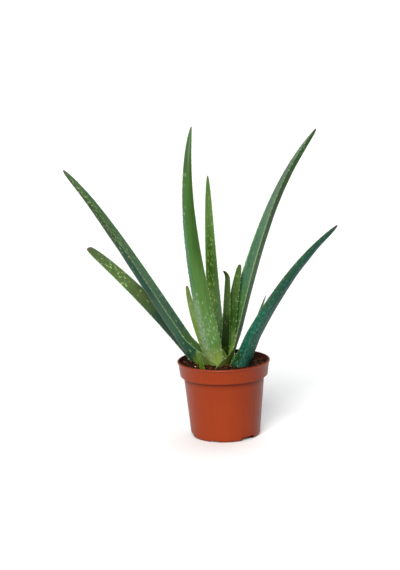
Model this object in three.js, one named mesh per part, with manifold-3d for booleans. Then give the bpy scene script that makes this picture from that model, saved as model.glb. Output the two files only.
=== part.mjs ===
// A young aloe in a plastic nursery pot: pot, potting soil, two short buried stems and eleven leaves.
// Millimetres, +Z up. The origin is the centre of the pot's underside.
import * as THREE from "three";
import { mergeVertices } from "three/addons/utils/BufferGeometryUtils.js";
import Module from "manifold-3d";

const wasm = await Module();
wasm.setup();

// ---- driving dimensions, mm and degrees ----

const GAP = 0.3; // clearance between pieces that touch

const pot = {
  height: 99,
  lipRadius: 60,
  lipBead: 1.4, // radius of the rounded lip
  lipBand: 4.2, // height in which the collar widens to the lip
  collarTop: 58.7,
  collarBottom: 56.8,
  collarHeight: 20,
  collarEdge: 1.4,
  ledgeHeight: 2.5,
  bodyTop: 52,
  bodyBottom: 45.2,
  footRadius: 42.4,
  footHeight: 5, // height of the rounded bottom corner
  innerCorner: 2.5,
  wall: 1.3,
  floor: 1.8,
  sides: 44,
};

// Drain slots through the bottom corner, and shallow recesses in the foot midway between them.
const drain = {
  count: 3,
  firstAngle: -51.5,
  slotWidth: 19,
  slotHeight: 5,
  slotInner: 36,
  recessWidth: 11.4,
  recessHeight: 2,
  recessInner: 27,
};

// The soil's surface is mounded, with lumps from two crossed waves that each sway along the other.
const soil = {
  edgeLevel: 93,
  centreLevel: 94.5,
  lump: 0.35,
  wavesPerMm: [0.31, 0.37],
  swayPerMm: [0.17, 0.23],
  sway: 1.2,
  rings: 6,
};

const stems = {
  stem: { at: [-8, -1], radius: 5, bottom: 58, top: 97 },
  offset_stem: { at: [17.5, -9.5], radius: 5, bottom: 66, top: 95 },
};
const stemEnd = { height: 4, share: 0.6 }; // a stem's ends narrow over this height, to this share of its radius
const STEM_SIDES = 12;

// What every leaf's blade shares, as shares of its length and depth.
const blade = {
  neckEnd: 0.16,
  sheathEnd: 0.2,
  sheathDepth: 0.6,
  channelDepth: 0.45,
  channelFade: 1.3,
  backRoundness: 3,
  backPoints: 6,
  facePoints: 4,
  spineSteps: 120,
  tipCrowding: 1.25, // above 1, rings stand closer towards the tip
};

// Marginal teeth, full size where the blade's half width passes fullHalf.
const tooth = {
  height: 1.4,
  sunk: 0.9,
  radius: 1.0,
  sides: 3,
  from: 0.14,
  to: 0.965,
  lean: 0.35,
  stagger: 0.2,
  fullHalf: 5,
  smallest: 0.75,
};
// Clearance round a tooth, as multiples of the gap: its sides slant, so it grows by more than the gap itself.
const toothClear = { radius: 2.2, length: 4 };

// Each leaf: where it starts, the heading it leans towards (0 is +X, 90 is +Y) and how that turns, its lean
// from upright at the base and the tip, and the blade's length, width and depth. A clasping leaf's margins
// are raised by clasp at its root, down to nothing at the share claspEnd. Inner leaves come first.
const leaves = {
  leaf_inner_dark: {
    root: [-0.2, 0, 84], heading: 46.5, lean: [7.6, 4.1], length: 133, width: 16, depth: 4,
    taper: 0.26, neck: 0.85, fold: { at: 0.93, span: 0.06, turn: -52 }, rings: 14, toothPitch: 15,
    color: 0x4c6322,
  },
  leaf_inner_green: {
    root: [5.8, -1.7, 84], heading: 43.9, lean: [3.3, 18.8], length: 139, width: 22.6, depth: 5,
    taper: 0.3, neck: 0.75, rings: 14, toothPitch: 15, color: 0x567f35,
  },
  leaf_inner_left: {
    root: [-9.5, -3, 84], heading: 150, lean: [31, 9.3], length: 118, width: 13.4, depth: 4,
    taper: 0.28, neck: 0.6, roll: [30, 30], rings: 12, toothPitch: 15, color: 0x7d9a35,
  },
  leaf_back: {
    root: [-5, 3, 84], heading: 100, turn: 1.8, lean: [21.6, -2.1], length: 255, width: 22.6,
    depth: 7, taper: 0.477, neck: 1, clasp: 8, claspEnd: 0.3, rings: 20, toothPitch: 17,
    color: 0x4f7531,
  },
  leaf_front_tall: {
    root: [-8.6, -4, 84], heading: -115.4, lean: [21.9, -26.4], bend: 2.86, length: 334,
    width: 31.8, depth: 9, taper: 0.545, neck: 0.69, rings: 26, toothPitch: 18, color: 0x4d7c41,
  },
  leaf_right_tall: {
    root: [-4.3, -5, 84], heading: 22.3, lean: [17.3, 46.6], bend: 2.69, length: 341.5, width: 29.8,
    depth: 14.6, taper: 0.375, neck: 0.95, roll: [-15, 13], clasp: 23, claspEnd: 0.11, rings: 26,
    toothPitch: 18, color: 0x4f7f52,
  },
  leaf_left_long: {
    root: [-9.8, -6, 74], heading: 148.5, lean: [38.5, 52.6], bend: 5.03, length: 353, width: 29.4,
    depth: 15.8, taper: 0.383, neck: 1, roll: [-15.3, -3], clasp: 18, claspEnd: 0.2, rings: 26,
    toothPitch: 18, color: 0x4a7a4c,
  },
  leaf_left_low: {
    root: [-11.5, 0, 74], heading: 135.1, lean: [51.8, 64.7], bend: 1.11, length: 285.5,
    width: 25.9, depth: 8, taper: 0.236, neck: 0.75, roll: [17.7, 24], rings: 22, toothPitch: 18,
    color: 0x56702f,
  },
  leaf_right_short: {
    root: [21.4, -5, 84], heading: 25, lean: [19.5, 25.5], length: 103.5, width: 10.4, depth: 4,
    taper: 0.45, neck: 0.75, rings: 10, toothPitch: 15, color: 0x4a6b33,
  },
  leaf_right_low: {
    root: [20.2, -12, 84], heading: -57.3, turn: 20.9, lean: [27.4, 43.9], bend: 2.43,
    length: 265.7, width: 28.3, depth: 10.5, taper: 0.35, neck: 1.15,
    fold: { at: 0.22, span: 0.06, turn: 9.1 }, clasp: 6, claspEnd: 0.2, rings: 24,
    toothPitch: 17, color: 0x2c6152,
  },
  pup_leaf: {
    root: [-25.5, -28, 84], heading: -140, lean: [8, 24], length: 37.5, width: 8, depth: 5,
    taper: 0.16, neck: 0.9, rings: 8, toothPitch: 11, color: 0x7f9c3f,
  },
};

const color = { pot: 0xa84a2a, stem: 0x8a8f52, soil: 0x35200f };
const finish = { pot: 0.45, leaf: 0.42, stem: 0.7, soil: 0.95 }; // roughness

// ---- helpers ----

const rad = THREE.MathUtils.degToRad;
const smooth = (x) => THREE.MathUtils.smoothstep(x, 0, 1);

const FINEST = 1e-3; // corners closer than this are one corner
const BEYOND = 10; // how far a cutting solid runs past the face it cuts
const SHARPEST = 0.12; // limits how far a sharp corner moves out in a widened outline

// A closed three.js geometry as a solid.
function solidOf(geometry) {
  const bare = geometry.clone();
  bare.deleteAttribute("normal");
  bare.deleteAttribute("uv");
  const merged = mergeVertices(bare, FINEST);
  const index = Array.from(merged.index.array);
  const triVerts = [];
  for (let i = 0; i < index.length; i += 3) {
    const [a, b, c] = index.slice(i, i + 3);
    if (a !== b && b !== c && c !== a) triVerts.push(a, b, c);
  }
  return new wasm.Manifold(new wasm.Mesh({
    numProp: 3,
    vertProperties: new Float32Array(merged.attributes.position.array),
    triVerts: new Uint32Array(triVerts),
  }));
}

// A solid's faces as a three.js geometry.
function geometryOf(solid) {
  const { vertProperties, triVerts } = solid.getMesh();
  const geometry = new THREE.BufferGeometry();
  geometry.setAttribute("position", new THREE.BufferAttribute(new Float32Array(vertProperties), 3));
  geometry.setIndex(new THREE.BufferAttribute(new Uint32Array(triVerts), 1));
  return geometry;
}

// A solid as a named mesh.
function meshOf(name, solid, hue, roughness) {
  const geometry = geometryOf(solid);
  geometry.computeVertexNormals();
  const material = new THREE.MeshStandardMaterial({ color: hue, roughness, metalness: 0 });
  const mesh = new THREE.Mesh(geometry, material);
  mesh.name = name;
  return mesh;
}

// The largest of the separate bodies that a cut leaves, with no two corners closer than the finest step.
function largest(solid) {
  const pick = (bodies) => bodies.reduce((best, one) => (one.volume() > best.volume() ? one : best));
  const body = pick(solid.decompose());
  return pick(solidOf(geometryOf(body)).decompose());
}

// A profile of [radius, height] points turned round +Z.
function turned(profile, sides) {
  const points = profile.map(([radius, height]) => new THREE.Vector2(radius, height));
  return new THREE.LatheGeometry(points, sides).rotateX(Math.PI / 2);
}

// A box that runs outwards along one heading from an inner radius, wide about that heading.
function radialBox(angle, inner, outer, width, bottom, top) {
  const box = new THREE.BoxGeometry(outer - inner, width, top - bottom);
  box.translate((inner + outer) / 2, 0, (bottom + top) / 2).rotateZ(rad(angle));
  return solidOf(box);
}

// ---- pot ----

const collarFoot = pot.height - pot.collarHeight;

// Points of a quarter-round or half-round, from one angle to another in equal steps.
function arc([x, y], [radiusX, radiusY], from, to, steps) {
  return Array.from({ length: steps + 1 }, (_, i) => {
    const angle = rad(from + ((to - from) * i) / steps);
    return [x + radiusX * Math.cos(angle), y + radiusY * Math.sin(angle)];
  });
}

function potOutside() {
  const { footRadius, footHeight, bodyBottom, collarBottom, collarEdge, lipRadius, lipBead } = pot;
  return [
    [0, 0],
    ...arc([footRadius, footHeight], [bodyBottom - footRadius, footHeight], -90, 0, 3),
    [pot.bodyTop, collarFoot - pot.ledgeHeight],
    [collarBottom - collarEdge, collarFoot],
    [collarBottom, collarFoot + collarEdge],
    [pot.collarTop, pot.height - pot.lipBand],
    ...arc([lipRadius - lipBead, pot.height - lipBead], [lipBead, lipBead], -45, 90, 3),
  ];
}

// The cavity's profile, set in from the wall by an extra clearance for what fills it.
function potInside(clear, top) {
  const inset = pot.wall + clear;
  const bottom = pot.floor + clear;
  const slope = (pot.collarTop - pot.collarBottom) / (pot.collarHeight - pot.lipBand);
  const rimRadius = pot.collarTop - inset + slope * (top - (pot.height - pot.lipBand));
  return [
    [0, bottom],
    [pot.bodyBottom - inset - pot.innerCorner, bottom],
    [pot.bodyBottom - inset, bottom + pot.innerCorner],
    [pot.bodyTop - inset, collarFoot - pot.ledgeHeight + pot.wall],
    [pot.collarBottom - inset, collarFoot + pot.collarEdge + pot.wall],
    [rimRadius, top],
  ];
}

function drainAngles(offset) {
  return Array.from({ length: drain.count }, (_, i) => drain.firstAngle + offset + (360 / drain.count) * i);
}

// The recesses in the foot, larger all round by the thickness of what covers them.
function recessBoxes(cover) {
  const { recessInner, recessWidth, recessHeight } = drain;
  const width = recessWidth + 2 * cover;
  const outer = pot.bodyBottom + BEYOND;
  return drainAngles(180 / drain.count)
    .map((angle) => radialBox(angle, recessInner - cover, outer, width, -BEYOND, recessHeight + cover));
}

function cut(solid, tools) {
  return tools.reduce((rest, tool) => rest.subtract(tool), solid);
}

function potSolid() {
  const top = pot.height + BEYOND;
  const cavity = cut(solidOf(turned([...potInside(0, top), [0, top]], pot.sides)), recessBoxes(pot.wall));
  const outer = pot.bodyBottom + BEYOND;
  const slots = drainAngles(0)
    .map((angle) => radialBox(angle, drain.slotInner, outer, drain.slotWidth, -BEYOND, drain.slotHeight));
  const body = solidOf(turned([...potOutside(), [0, pot.height]], pot.sides));
  return cut(cut(body, [...recessBoxes(0), ...slots]), [cavity]);
}

// ---- leaves ----

// The leaf's own directions at a share s of its length: along it, across it and out of its inner face.
function leafFrame(leaf, s) {
  const { heading, turn = 0, lean, bend = 1, roll = [0, 0], fold } = leaf;
  const h = rad(heading + turn * s);
  let tilt = lean[0] + (lean[1] - lean[0]) * s ** bend;
  if (fold) tilt += fold.turn * smooth((s - fold.at + fold.span) / (2 * fold.span));
  const t = rad(tilt);
  const along = new THREE.Vector3(Math.sin(t) * Math.cos(h), Math.sin(t) * Math.sin(h), Math.cos(t));
  const inward = new THREE.Vector3(-Math.cos(t) * Math.cos(h), -Math.cos(t) * Math.sin(h), Math.sin(t));
  const across = new THREE.Vector3().crossVectors(along, inward);
  const r = rad(roll[0] + (roll[1] - roll[0]) * s);
  return {
    along,
    across: across.clone().multiplyScalar(Math.cos(r)).addScaledVector(inward, Math.sin(r)),
    inward: inward.clone().multiplyScalar(Math.cos(r)).addScaledVector(across, -Math.sin(r)),
  };
}

// The middle of the leaf at every step of its length.
function leafSpine(leaf) {
  const points = [new THREE.Vector3(...leaf.root)];
  for (let i = 0; i < blade.spineSteps; i++) {
    const { along } = leafFrame(leaf, (i + 0.5) / blade.spineSteps);
    points.push(points[i].clone().addScaledVector(along, leaf.length / blade.spineSteps));
  }
  return points;
}

function spineAt(spine, s) {
  const i = Math.min(Math.floor(s * blade.spineSteps), blade.spineSteps - 1);
  return spine[i].clone().lerp(spine[i + 1], s * blade.spineSteps - i);
}

// Half width, depth of the rounded back, depth of the channel and lift of the sheathing margins at s.
function leafSection(leaf, s) {
  const { clasp = 0, claspEnd } = leaf;
  const end = (1 - s) ** leaf.taper;
  const sheath = blade.sheathDepth + (1 - blade.sheathDepth) * smooth(s / blade.sheathEnd);
  const back = leaf.depth * end * sheath;
  return {
    half: (leaf.width / 2) * end * (leaf.neck + (1 - leaf.neck) * smooth(s / blade.neckEnd)),
    back,
    channel: back * blade.channelDepth * (1 - blade.channelFade * s),
    lift: clasp && clasp * (1 - smooth(s / claspEnd)),
  };
}

// The outline of the leaf's section: the rounded back from margin to margin, then the channelled inner face.
function sectionOutline({ half, back, channel, lift }) {
  const { backPoints, facePoints, backRoundness } = blade;
  const outline = [];
  for (let i = 0; i <= backPoints; i++) {
    const u = -1 + (2 * i) / backPoints;
    outline.push(new THREE.Vector2(half * u, lift * u * u - back * (1 - Math.abs(u) ** backRoundness)));
  }
  for (let i = 1; i < facePoints; i++) {
    const u = 1 - (2 * i) / facePoints;
    outline.push(new THREE.Vector2(half * u, lift * u * u - channel * (1 - u * u)));
  }
  return outline;
}

// An outline with each edge moved out by the same distance.
function widened(outline, grow) {
  const count = outline.length;
  const outwards = (from, to) => new THREE.Vector2(to.y - from.y, from.x - to.x).normalize();
  return outline.map((point, i) => {
    const before = outline[(i + count - 1) % count];
    const after = outline[(i + 1) % count];
    const sum = outwards(before, point).add(outwards(point, after));
    return point.clone().addScaledVector(sum, (2 * grow) / Math.max(sum.lengthSq(), SHARPEST));
  });
}

function bladeSolid(leaf, spine, grow) {
  const { rings } = leaf;
  const positions = [];
  const triangles = [];
  let outline = [];
  for (let i = rings - 1; i >= 0; i--) {
    const s = 1 - (1 - i / rings) ** blade.tipCrowding;
    const { along, across, inward } = leafFrame(leaf, s);
    const centre = spineAt(spine, s).addScaledVector(along, i === 0 ? -grow : 0);
    outline = widened(sectionOutline(leafSection(leaf, s)), grow);
    for (const { x, y } of outline) {
      const p = centre.clone().addScaledVector(across, x).addScaledVector(inward, y);
      positions.push(p.x, p.y, p.z);
    }
  }
  const tip = spine[blade.spineSteps];
  positions.push(tip.x, tip.y, tip.z);
  const count = outline.length;
  const foot = (rings - 1) * count;
  for (let j = 0; j < count; j++) {
    const k = (j + 1) % count;
    triangles.push(k, j, rings * count);
    for (let high = 0; high < foot; high += count) {
      const low = high + count;
      triangles.push(low + j, high + k, low + k, low + j, high + j, high + k);
    }
  }
  for (const corners of THREE.ShapeUtils.triangulateShape(outline, [])) {
    triangles.push(...corners.map((corner) => foot + corner));
  }
  const geometry = new THREE.BufferGeometry();
  geometry.setAttribute("position", new THREE.Float32BufferAttribute(positions, 3));
  geometry.setIndex(triangles);
  return solidOf(geometry);
}

// A marginal tooth: a spike that points out of the margin and a little towards the tip.
function toothSolid(leaf, spine, s, side, grow) {
  const { along, across, inward } = leafFrame(leaf, s);
  const { half, lift } = leafSection(leaf, s);
  const point = across.clone().multiplyScalar(side).addScaledVector(along, tooth.lean).normalize();
  const size = THREE.MathUtils.clamp(half / tooth.fullHalf, tooth.smallest, 1);
  const length = (tooth.height + tooth.sunk) * size + toothClear.length * grow;
  const cone = new THREE.ConeGeometry(tooth.radius * size + toothClear.radius * grow, length, tooth.sides);
  const turn = new THREE.Quaternion().setFromUnitVectors(new THREE.Vector3(0, 1, 0), point);
  const middle = spineAt(spine, s)
    .addScaledVector(across, side * half)
    .addScaledVector(inward, lift)
    .addScaledVector(point, ((tooth.height - tooth.sunk) * size) / 2);
  return solidOf(cone.applyQuaternion(turn).translate(middle.x, middle.y, middle.z));
}

function leafSolid(leaf, grow = 0) {
  const spine = leafSpine(leaf);
  const span = tooth.to - tooth.from;
  const count = Math.round((span * leaf.length) / leaf.toothPitch);
  let solid = bladeSolid(leaf, spine, grow);
  for (const side of [-1, 1]) {
    for (let i = 0; i <= count; i++) {
      const s = tooth.from + (span * (i + side * tooth.stagger)) / count;
      if (s < tooth.to) solid = solid.add(toothSolid(leaf, spine, s, side, grow));
    }
  }
  return solid;
}

// ---- stems and soil ----

function stemSolid({ at, radius, bottom, top }, grow = 0) {
  const r = radius + grow;
  const low = bottom - grow;
  const high = top + grow;
  const profile = [
    [0, low],
    [r * stemEnd.share, low],
    [r, low + stemEnd.height],
    [r, high - stemEnd.height],
    [r * stemEnd.share, high],
    [0, high],
  ];
  return solidOf(turned(profile, STEM_SIDES).translate(at[0], at[1], 0));
}

function soilLevel(x, y) {
  const [waveX, waveY] = soil.wavesPerMm;
  const [swayX, swayY] = soil.swayPerMm;
  const fall = Math.min(Math.hypot(x, y) / pot.collarBottom, 1) ** 2;
  const lumps = Math.sin(x * waveX + soil.sway * Math.sin(y * swayX))
    + Math.sin(y * waveY + soil.sway * Math.sin(x * swayY));
  return soil.centreLevel - (soil.centreLevel - soil.edgeLevel) * fall + soil.lump * lumps;
}

function soilSolid(holes) {
  const inside = potInside(GAP, soil.edgeLevel);
  const [edge] = inside[inside.length - 1];
  const shares = Array.from({ length: soil.rings }, (_, i) => 1 - (i + 1) / soil.rings);
  const top = shares.map((share) => [edge * share, soil.edgeLevel]);
  const lathe = turned([...inside, ...top], pot.sides);
  const position = lathe.attributes.position;
  for (let v = 0; v < position.count; v++) {
    if (position.getZ(v) < soil.edgeLevel - FINEST) continue;
    position.setZ(v, soilLevel(position.getX(v), position.getY(v)));
  }
  return largest(cut(solidOf(lathe), [...recessBoxes(pot.wall + GAP), ...holes]));
}

// ---- the plant ----

const group = new THREE.Group();
group.add(meshOf("pot", potSolid(), color.pot, finish.pot));

const holes = [];
for (const [name, stem] of Object.entries(stems)) {
  group.add(meshOf(name, stemSolid(stem), color.stem, finish.stem));
  holes.push(stemSolid(stem, GAP));
}

// Each outer leaf is cut back where the stems and the leaves inside it stand.
for (const [name, leaf] of Object.entries(leaves)) {
  group.add(meshOf(name, largest(cut(leafSolid(leaf), holes)), leaf.color, finish.leaf));
  holes.push(leafSolid(leaf, GAP));
}

group.add(meshOf("soil", soilSolid(holes), color.soil, finish.soil));

export default group;
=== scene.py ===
# Looks of a young aloe in a plastic nursery pot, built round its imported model. Metres, +Z up, front at -Y.
from math import cos, hypot, pi, radians, sin

import bmesh
import bpy
import numpy as np
from mathutils import Matrix, Vector, noise


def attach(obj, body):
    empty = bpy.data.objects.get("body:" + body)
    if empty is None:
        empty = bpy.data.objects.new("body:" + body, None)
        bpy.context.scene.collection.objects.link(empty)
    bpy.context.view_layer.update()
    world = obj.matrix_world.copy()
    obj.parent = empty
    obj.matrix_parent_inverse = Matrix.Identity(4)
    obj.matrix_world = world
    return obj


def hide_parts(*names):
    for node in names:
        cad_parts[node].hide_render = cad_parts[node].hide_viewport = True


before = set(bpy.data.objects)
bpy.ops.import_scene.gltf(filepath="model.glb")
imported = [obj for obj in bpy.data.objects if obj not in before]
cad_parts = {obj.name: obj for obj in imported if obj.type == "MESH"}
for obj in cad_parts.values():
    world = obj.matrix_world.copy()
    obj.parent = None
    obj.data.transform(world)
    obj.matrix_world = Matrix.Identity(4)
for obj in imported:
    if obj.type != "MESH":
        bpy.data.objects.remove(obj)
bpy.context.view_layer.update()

MM = 0.001
SEED = 11

# ---- the photograph's view ----

FRAME_WIDTH, FRAME_HEIGHT = 400, 570
FOCAL_PIXELS = 1347.9
SENSOR = 36.0
CAMERA_PLACE = Vector((-27.35, -1700.0, 505.9)) * MM
CAMERA_TARGET = Vector((-27.35, 0.0, 197.7)) * MM
CAMERA_ROLL = radians(-1.88)


def set_camera():
    forward = (CAMERA_TARGET - CAMERA_PLACE).normalized()
    level = forward.cross(Vector((0, 0, 1))).normalized()
    upright = level.cross(forward)
    right = level * cos(CAMERA_ROLL) + upright * sin(CAMERA_ROLL)
    up = upright * cos(CAMERA_ROLL) - level * sin(CAMERA_ROLL)
    data = bpy.data.cameras.new("camera")
    data.sensor_width = SENSOR
    data.lens = FOCAL_PIXELS * SENSOR / max(FRAME_WIDTH, FRAME_HEIGHT)
    camera = bpy.data.objects.new("camera", data)
    turn = Matrix((right, up, -forward)).transposed()
    camera.matrix_world = Matrix.Translation(CAMERA_PLACE) @ turn.to_4x4()
    bpy.context.scene.collection.objects.link(camera)
    bpy.context.scene.camera = camera


set_camera()

# ---- sizes, mm and degrees: the same as the solids' ----

POT = {
    "height": 99, "lip_radius": 60, "lip_bead": 1.4, "lip_band": 4.2, "collar_top": 58.7,
    "collar_bottom": 56.8, "collar_height": 20, "collar_edge": 1.4, "ledge_height": 2.5,
    "body_top": 52, "body_bottom": 45.2, "foot_radius": 42.4, "foot_height": 5, "inner_corner": 2.5,
    "wall": 1.3, "floor": 1.8,
}
COLLAR_FOOT = POT["height"] - POT["collar_height"]
COLLAR_SLOPE = (POT["collar_top"] - POT["collar_bottom"]) / (POT["collar_height"] - POT["lip_band"])
DRAIN = {
    "count": 3, "first_angle": -51.5, "slot_width": 19, "slot_height": 5, "slot_inner": 36,
    "recess_width": 11.4, "recess_height": 2, "recess_inner": 27,
}
SOIL = {"edge": 93, "centre": 94.5, "gap": 0.3}
FINEST = 0.01  # heights closer than this are the same
# Where the pale grains lie, in front and right of the plant, and how few there are elsewhere.
PALE_PATCH = {"x": 15, "y": -47, "radius": 7, "elsewhere": 0.06}

# Each leaf's root, heading, lean from upright at base and tip, length, width and depth, and how these change.
LEAVES = {
    "leaf_inner_dark": dict(
        root=(-0.2, 0, 84), heading=46.5, lean=(7.6, 4.1), length=133, width=16, depth=4,
        taper=0.26, neck=0.85, fold=(0.93, 0.06, -52)),
    "leaf_inner_green": dict(
        root=(5.8, -1.7, 84), heading=43.9, lean=(3.3, 18.8), length=139, width=22.6, depth=5,
        taper=0.3, neck=0.75),
    "leaf_inner_left": dict(
        root=(-9.5, -3, 84), heading=150, lean=(31, 9.3), length=118, width=13.4, depth=4,
        taper=0.28, neck=0.6, roll=(30, 30)),
    "leaf_back": dict(
        root=(-5, 3, 84), heading=100, turn=1.8, lean=(21.6, -2.1), length=255, width=22.6, depth=7,
        taper=0.477, neck=1.0, clasp=8, clasp_end=0.3),
    "leaf_front_tall": dict(
        root=(-8.6, -4, 84), heading=-115.4, lean=(21.9, -26.4), bend=2.86, length=334, width=31.8, depth=9,
        taper=0.545, neck=0.69),
    "leaf_right_tall": dict(
        root=(-4.3, -5, 84), heading=22.3, lean=(17.3, 46.6), bend=2.69, length=341.5, width=29.8,
        depth=14.6, taper=0.375, neck=0.95, roll=(-15, 13), clasp=23, clasp_end=0.11),
    "leaf_left_long": dict(
        root=(-9.8, -6, 74), heading=148.5, lean=(38.5, 52.6), bend=5.03, length=353, width=29.4,
        depth=15.8, taper=0.383, neck=1.0, roll=(-15.3, -3), clasp=18, clasp_end=0.2),
    "leaf_left_low": dict(
        root=(-11.5, 0, 74), heading=135.1, lean=(51.8, 64.7), bend=1.11, length=285.5, width=25.9, depth=8,
        taper=0.236, neck=0.75, roll=(17.7, 24)),
    "leaf_right_short": dict(
        root=(21.4, -5, 84), heading=25, lean=(19.5, 25.5), length=103.5, width=10.4, depth=4,
        taper=0.45, neck=0.75),
    "leaf_right_low": dict(
        root=(20.2, -12, 84), heading=-57.3, turn=20.9, lean=(27.4, 43.9), bend=2.43, length=265.7,
        width=28.3, depth=10.5, taper=0.35, neck=1.15, fold=(0.22, 0.06, 9.1), clasp=6,
        clasp_end=0.2),
    "pup_leaf": dict(
        root=(-25.5, -28, 84), heading=-140, lean=(8, 24), length=37.5, width=8, depth=5,
        taper=0.16, neck=0.9),
}

# ---- helpers ----


def linear(code):
    """An sRGB hex value such as "#a84a2a" as linear RGBA."""
    shares = [int(code[i:i + 2], 16) / 255 for i in (1, 3, 5)]
    return [s / 12.92 if s <= 0.04045 else ((s + 0.055) / 1.055) ** 2.4 for s in shares] + [1.0]


def smooth(x):
    x = np.clip(x, 0, 1)
    return x * x * (3 - 2 * x)


def feed(tree, made, inputs):
    """Sets a node's inputs: to a value, a socket to link from, or a node whose first output is linked."""
    usable = [socket for socket in made.inputs if socket.enabled]
    for key, value in inputs.items():
        socket = usable[key] if isinstance(key, int) else next(s for s in usable if s.name == key)
        if isinstance(value, bpy.types.Node):
            value = next(s for s in value.outputs if s.enabled)
        if isinstance(value, bpy.types.NodeSocket):
            tree.links.new(value, socket)
        else:
            socket.default_value = value


def add(tree, kind, inputs=None, **settings):
    """Adds a node with its settings and inputs."""
    made = tree.nodes.new(kind)
    for name, value in settings.items():
        setattr(made, name, value)
    feed(tree, made, inputs or {})
    return made


def piece_of(name, mesh, material=None):
    piece = bpy.data.objects.new(name, mesh)
    bpy.context.scene.collection.objects.link(piece)
    if material:
        mesh.materials.append(material)
    return piece


def geometry_tree(name, sizes):
    """A Geometry Nodes tree with one named number for each size, and its group input node."""
    tree = bpy.data.node_groups.new(name, "GeometryNodeTree")
    tree.interface.new_socket("Geometry", in_out="INPUT", socket_type="NodeSocketGeometry")
    tree.interface.new_socket("Geometry", in_out="OUTPUT", socket_type="NodeSocketGeometry")
    for size in sizes:
        tree.interface.new_socket(size, in_out="INPUT", socket_type="NodeSocketFloat")
    return tree, add(tree, "NodeGroupInput")


def keep_shape(piece):
    """Makes what a piece's modifiers give its plain mesh."""
    ready = piece.evaluated_get(bpy.context.evaluated_depsgraph_get())
    mesh = bpy.data.meshes.new_from_object(ready)
    piece.modifiers.clear()
    piece.data = mesh


def grow(piece, tree, sizes):
    """Runs a Geometry Nodes tree on a piece and keeps the result as its plain mesh."""
    modifier = piece.modifiers.new(tree.name, "NODES")
    modifier.node_group = tree
    for item in tree.interface.items_tree:
        if item.item_type == "SOCKET" and item.in_out == "INPUT" and item.name in sizes:
            modifier[item.identifier] = float(sizes[item.name])
    keep_shape(piece)


# ---- materials ----


def new_material(name):
    material = bpy.data.materials.new(name)
    material.use_nodes = True
    tree = material.node_tree
    return material, tree, tree.nodes["Principled BSDF"]


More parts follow.
